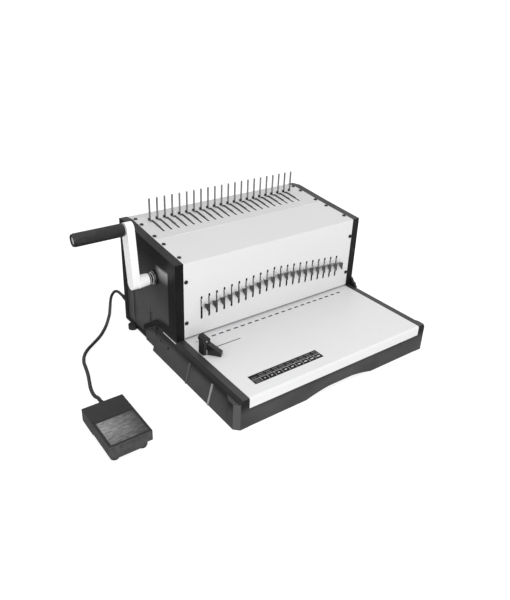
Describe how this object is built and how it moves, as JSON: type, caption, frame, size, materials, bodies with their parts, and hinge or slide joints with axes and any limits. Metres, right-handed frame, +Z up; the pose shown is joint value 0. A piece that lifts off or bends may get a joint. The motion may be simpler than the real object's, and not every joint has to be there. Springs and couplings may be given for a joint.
{
  "type": "comb binding machine",
  "caption": "Desktop electric punch with a crank-driven comb opener on top, a paper tray with an edge guide in front, and a wired foot pedal.",
  "frame": {"origin": "on the surface that the machine stands on, under the middle of its base", "axes": "+X to the right as the user faces the machine, +Y to the back, +Z up"},
  "size_m": [0.5665, 0.4327, 0.2355],
  "materials": {
    "black_moulding": "satin textured moulding",
    "white_paint": "satin powder coat",
    "crank_paint": "gloss enamel",
    "print_black": "screen print",
    "rubber_black": "matt",
    "plated_steel": "zinc plated",
    "bright_steel": "ground",
    "bronze": "sintered",
    "dark_metal": "black oxide",
    "black_plastic": "semi-gloss",
    "switch_red": "gloss",
    "board_green": "varnished"
  },
  "bodies": {
    "root": {"base_left_rail": "black_moulding", "base_right_rail": "black_moulding", "base_front_panel": "black_moulding", "bottom_plate": "plated_steel", "chassis_shelf": "plated_steel", "back_panel": "white_paint", "paper_tray": "white_paint", "size_chart": "print_black", "hole_marks": "print_black", "rubber_feet": "rubber_black", "left_side_cover": "black_moulding", "right_side_cover": "black_moulding", "front_cover": "white_paint", "rear_cover": "white_paint", "cover_screws": "dark_metal", "left_frame_plate": "plated_steel", "right_frame_plate": "plated_steel", "tie_bars": "plated_steel", "pin_bar": "plated_steel", "comb_pins": "bright_steel", "shaft_bushes": "bronze", "shaft_bracket": "plated_steel", "crank_collar": "dark_metal", "die_block": "plated_steel", "guide_rods": "bright_steel", "return_springs": "bright_steel", "drive_motor": "dark_metal", "power_inlet": "black_plastic", "switch_bezel": "black_plastic", "control_board": "board_green", "cord_gland": "rubber_black", "pedal_cord": "rubber_black", "pedal_relief": "rubber_black", "pedal_base": "black_plastic", "pedal_housing": "black_plastic", "treadle_pin": "bright_steel", "pedal_spring": "bright_steel", "pedal_switch": "black_plastic", "pedal_feet": "rubber_black"},
    "carriage": {"hook_carriage": "plated_steel", "carriage_racks": "plated_steel", "comb_hooks": "bright_steel"},
    "crank": {"crank_shaft": "bright_steel", "crank_pinions": "bright_steel", "crank_arm": "crank_paint", "grip_bolt": "bright_steel"},
    "grip": {"crank_grip": "rubber_black"},
    "punch": {"punch_beam": "plated_steel", "punch_pins": "bright_steel"},
    "pulls": {"punch_pulls": "bright_steel"},
    "cams": {"cam_shaft": "bright_steel", "drive_cams": "bright_steel", "drive_gear": "bright_steel"},
    "pinion": {"motor_pinion": "bright_steel"},
    "rocker": {"power_switch": "switch_red"},
    "drawer": {"chip_drawer": "black_plastic"},
    "guide": {"edge_guide": "black_plastic", "guide_clamp": "plated_steel"},
    "treadle": {"pedal_treadle": "black_plastic", "tread_pad": "rubber_black"}
  },
  "joints": [
    {"name": "crank_turn", "type": "hinge", "parent": "root", "child": "crank", "pos_m": [-0.1, 0.065, 0.134], "axis": [1, 0, 0], "range_deg": [0, 90]},
    {"name": "carriage_slide", "type": "slide", "parent": "root", "child": "carriage", "axis": [0, -1, 0], "range_m": [0, 0.0236]},
    {"name": "grip_spin", "type": "hinge", "parent": "crank", "child": "grip", "pos_m": [-0.274, 0.065, 0.225], "axis": [1, 0, 0], "continuous": true},
    {"name": "cam_turn", "type": "hinge", "parent": "root", "child": "cams", "pos_m": [0, 0.026, 0.15], "axis": [1, 0, 0], "range_deg": [0, 180]},
    {"name": "beam_press", "type": "slide", "parent": "root", "child": "punch", "axis": [0, 0, -1], "range_m": [0, 0.02], "stiffness_N_per_m": 400, "springref_m": -0.045, "deforming": ["return_springs"]},
    {"name": "pulls_out", "type": "slide", "parent": "punch", "child": "pulls", "axis": [0, -1, 0], "range_m": [0, 0.006]},
    {"name": "motor_spin", "type": "hinge", "parent": "root", "child": "pinion", "pos_m": [0.18, 0.0635, 0.15], "axis": [1, 0, 0], "range_deg": [-361, 0]},
    {"name": "switch_rock", "type": "hinge", "parent": "root", "child": "rocker", "pos_m": [0.094, 0.175, 0.056], "axis": [1, 0, 0], "range_deg": [-7, 7]},
    {"name": "drawer_pull", "type": "slide", "parent": "root", "child": "drawer", "axis": [0, 1, 0], "range_m": [0, 0.15]},
    {"name": "guide_slide", "type": "slide", "parent": "root", "child": "guide", "axis": [1, 0, 0], "range_m": [0, 0.066]},
    {"name": "treadle_press", "type": "hinge", "parent": "root", "child": "treadle", "pos_m": [-0.3355, -0.094, 0.016], "axis": [1, 0, 0], "range_deg": [0, 5], "stiffness_Nm_per_rad": 1.5, "springref_deg": -5.73, "deforming": ["pedal_spring"]}
  ],
  "couplings": [
    {"joint": "carriage_slide", "follows": "crank_turn", "m_per_rad": 0.015},
    {"joint": "cam_turn", "follows": "beam_press", "rad_per_m": 157},
    {"joint": "motor_spin", "follows": "beam_press", "rad_per_m": -314}
  ]
}
